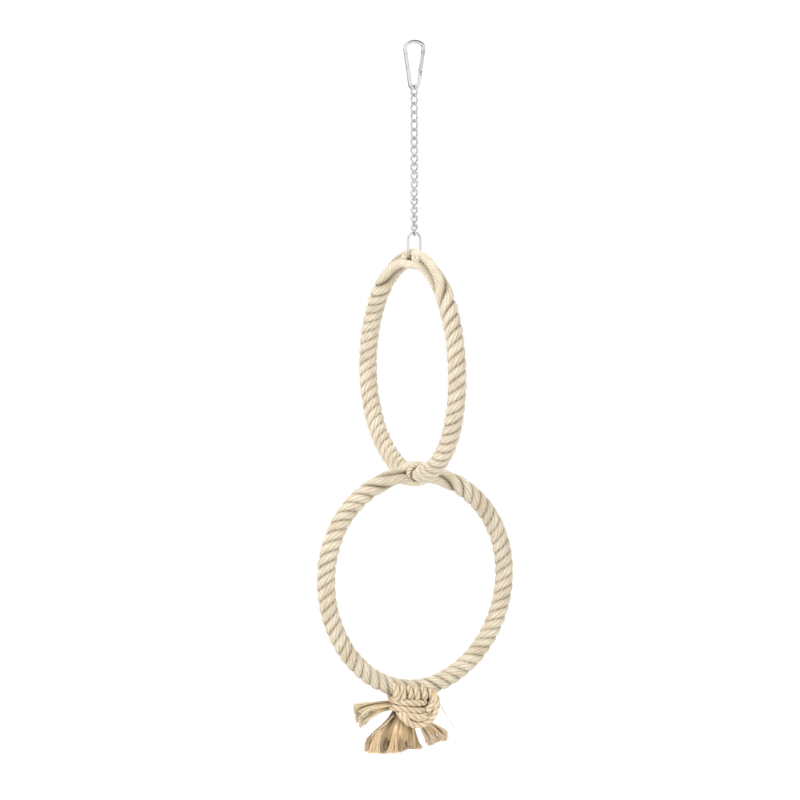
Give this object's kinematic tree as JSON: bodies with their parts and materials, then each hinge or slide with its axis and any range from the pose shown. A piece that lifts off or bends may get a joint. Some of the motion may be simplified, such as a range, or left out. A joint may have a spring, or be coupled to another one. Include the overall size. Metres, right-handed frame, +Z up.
{
  "type": "hanging rope ring bird perch",
  "caption": "Two linked rope rings hung from a spring snap hook on a twisted chain, with a tied and frayed knot below, as a perch and swing for a cage bird.",
  "frame": {"origin": "inside of the hook's crown, where the perch hangs from a bar", "axes": "+Z up along the hanging line; the hook and the lower ring lie in the XZ plane with the gate on +X; the upper ring lies in the YZ plane"},
  "size_m": [0.1749, 0.1749, 0.572],
  "materials": {
    "hook_metal": "nickel plated steel",
    "gate_metal": "nickel plated steel",
    "rivet_metal": "dull steel",
    "spring_metal": "spring steel",
    "chain_metal": "nickel plated steel",
    "rope": "three-strand sisal rope",
    "rope_strand": "unlaid sisal strand",
    "rope_fray": "frayed sisal fibre"
  },
  "bodies": {
    "hook": {"hook_body": "hook_metal"},
    "gate": {"hook_gate": "gate_metal", "gate_rivet": "rivet_metal", "gate_latch_pin": "rivet_metal", "gate_plunger": "rivet_metal", "gate_spring": "spring_metal"},
    "link_01": {"chain_link_01": "chain_metal"},
    "link_02": {"chain_link_02": "chain_metal"},
    "link_03": {"chain_link_03": "chain_metal"},
    "link_04": {"chain_link_04": "chain_metal"},
    "link_05": {"chain_link_05": "chain_metal"},
    "link_06": {"chain_link_06": "chain_metal"},
    "link_07": {"chain_link_07": "chain_metal"},
    "link_08": {"chain_link_08": "chain_metal"},
    "link_09": {"chain_link_09": "chain_metal"},
    "link_10": {"chain_link_10": "chain_metal"},
    "link_11": {"chain_link_11": "chain_metal"},
    "link_12": {"chain_link_12": "chain_metal"},
    "link_13": {"chain_link_13": "chain_metal"},
    "link_14": {"chain_link_14": "chain_metal"},
    "link_15": {"chain_link_15": "chain_metal"},
    "link_16": {"chain_link_16": "chain_metal"},
    "link_17": {"chain_link_17": "chain_metal"},
    "connector": {"connector_link": "chain_metal"},
    "upper_ring": {"upper_rope_ring": "rope"},
    "lower_ring": {"lower_rope_ring": "rope", "bottom_knot": "rope_strand", "knot_loop": "rope_strand", "knot_inner_loop": "rope_strand", "tassel_left": "rope_fray", "tassel_middle": "rope_fray", "tassel_right": "rope_fray"}
  },
  "joints": [
    {"name": "gate_hinge", "type": "hinge", "parent": "hook", "child": "gate", "pos_m": [0.00542, 0, -0.0227], "axis": [0, -1, 0], "range_deg": [0, 28], "stiffness_Nm_per_rad": 0.02, "springref_deg": -20.05},
    {"name": "link_01_swing", "type": "hinge", "parent": "hook", "child": "link_01", "pos_m": [0, 0, -0.03295], "axis": [0, 1, 0], "range_deg": [-25, 25]},
    {"name": "link_02_swing", "type": "hinge", "parent": "link_01", "child": "link_02", "pos_m": [0, 0, -0.04165], "axis": [-0.9957, -0.0923, 0], "range_deg": [-35, 35]},
    {"name": "link_03_swing", "type": "hinge", "parent": "link_02", "child": "link_03", "pos_m": [0, 0, -0.04685], "axis": [0.1837, -0.983, 0], "range_deg": [-35, 35]},
    {"name": "link_04_swing", "type": "hinge", "parent": "link_03", "child": "link_04", "pos_m": [0, 0, -0.05555], "axis": [0.9618, 0.2737, 0], "range_deg": [-35, 35]},
    {"name": "link_05_swing", "type": "hinge", "parent": "link_04", "child": "link_05", "pos_m": [0, 0, -0.06075], "axis": [-0.3612, 0.9325, 0], "range_deg": [-35, 35]},
    {"name": "link_06_swing", "type": "hinge", "parent": "link_05", "child": "link_06", "pos_m": [0, 0, -0.06945], "axis": [-0.8952, -0.4457, 0], "range_deg": [-35, 35]},
    {"name": "link_07_swing", "type": "hinge", "parent": "link_06", "child": "link_07", "pos_m": [0, 0, -0.07465], "axis": [0.5264, -0.8502, 0], "range_deg": [-35, 35]},
    {"name": "link_08_swing", "type": "hinge", "parent": "link_07", "child": "link_08", "pos_m": [0, 0, -0.08335], "axis": [0.798, 0.6026, 0], "range_deg": [-35, 35]},
    {"name": "link_09_swing", "type": "hinge", "parent": "link_08", "child": "link_09", "pos_m": [0, 0, -0.08855], "axis": [-0.6737, 0.739, 0], "range_deg": [-35, 35]},
    {"name": "link_10_swing", "type": "hinge", "parent": "link_09", "child": "link_10", "pos_m": [0, 0, -0.09725], "axis": [-0.6737, -0.739, 0], "range_deg": [-35, 35]},
    {"name": "link_11_swing", "type": "hinge", "parent": "link_10", "child": "link_11", "pos_m": [0, 0, -0.10245], "axis": [0.798, -0.6026, 0], "range_deg": [-35, 35]},
    {"name": "link_12_swing", "type": "hinge", "parent": "link_11", "child": "link_12", "pos_m": [0, 0, -0.11115], "axis": [0.5264, 0.8502, 0], "range_deg": [-35, 35]},
    {"name": "link_13_swing", "type": "hinge", "parent": "link_12", "child": "link_13", "pos_m": [0, 0, -0.11635], "axis": [-0.8952, 0.4457, 0], "range_deg": [-35, 35]},
    {"name": "link_14_swing", "type": "hinge", "parent": "link_13", "child": "link_14", "pos_m": [0, 0, -0.12505], "axis": [-0.3612, -0.9325, 0], "range_deg": [-35, 35]},
    {"name": "link_15_swing", "type": "hinge", "parent": "link_14", "child": "link_15", "pos_m": [0, 0, -0.13025], "axis": [0.9618, -0.2737, 0], "range_deg": [-35, 35]},
    {"name": "link_16_swing", "type": "hinge", "parent": "link_15", "child": "link_16", "pos_m": [0, 0, -0.13895], "axis": [0.1837, 0.983, 0], "range_deg": [-35, 35]},
    {"name": "link_17_swing", "type": "hinge", "parent": "link_16", "child": "link_17", "pos_m": [0, 0, -0.14415], "axis": [-0.9957, 0.0923, 0], "range_deg": [-35, 35]},
    {"name": "connector_swing", "type": "hinge", "parent": "link_17", "child": "connector", "pos_m": [0, 0, -0.15285], "axis": [0, -1, 0], "range_deg": [-35, 35]},
    {"name": "upper_ring_swing", "type": "hinge", "parent": "connector", "child": "upper_ring", "pos_m": [0, 0, -0.1718], "axis": [1, 0, 0], "range_deg": [-12, 12]},
    {"name": "lower_ring_swing", "type": "hinge", "parent": "upper_ring", "child": "lower_ring", "pos_m": [0, 0, -0.3448], "axis": [0, 1, 0], "range_deg": [-20, 20]}
  ]
}
